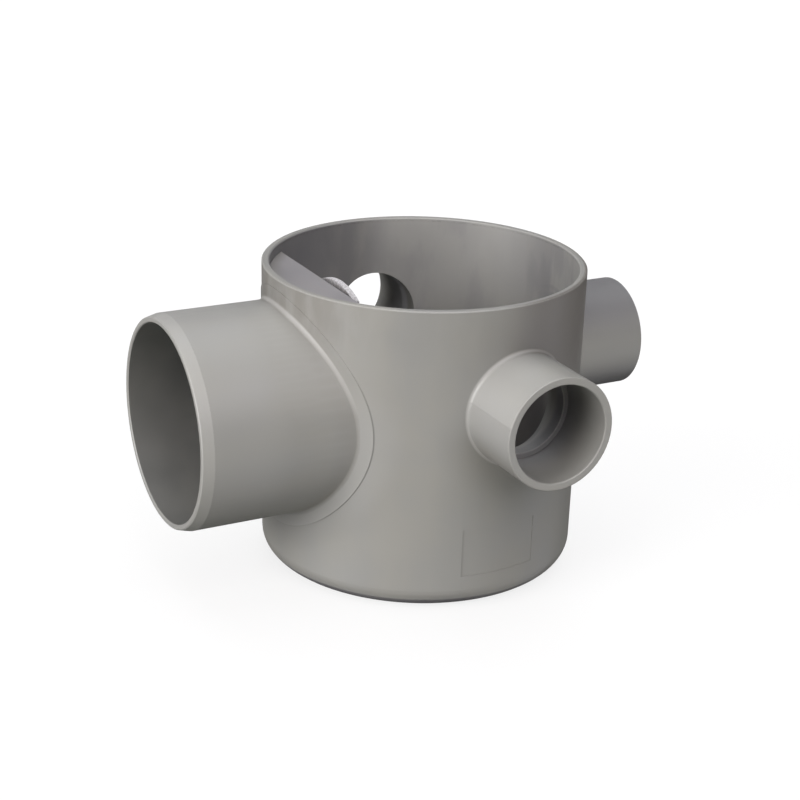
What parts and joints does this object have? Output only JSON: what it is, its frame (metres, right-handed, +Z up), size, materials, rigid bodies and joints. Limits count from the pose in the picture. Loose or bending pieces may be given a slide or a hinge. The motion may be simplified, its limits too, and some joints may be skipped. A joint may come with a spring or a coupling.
{
  "type": "floor drain",
  "caption": "Grey moulded PVC floor drain: open round body with a large outlet spigot at one side, small pipe inlet sockets around it and a lift-out trap hood inside.",
  "frame": {"origin": "middle of the body's flat base, on the axis of the round body", "axes": "+Z up out of the open rim; the outlet points along -X and one inlet along +X; the other two inlets point along -Y and +Y"},
  "size_m": [0.2655, 0.241, 0.16],
  "materials": {
    "body_pvc": "satin moulded PVC, warm light grey",
    "hood_pvc": "matte moulded PVC, cool light grey"
  },
  "bodies": {
    "root": {"drain_body": "body_pvc", "trap_hood": "hood_pvc"}
  },
  "joints": []
}
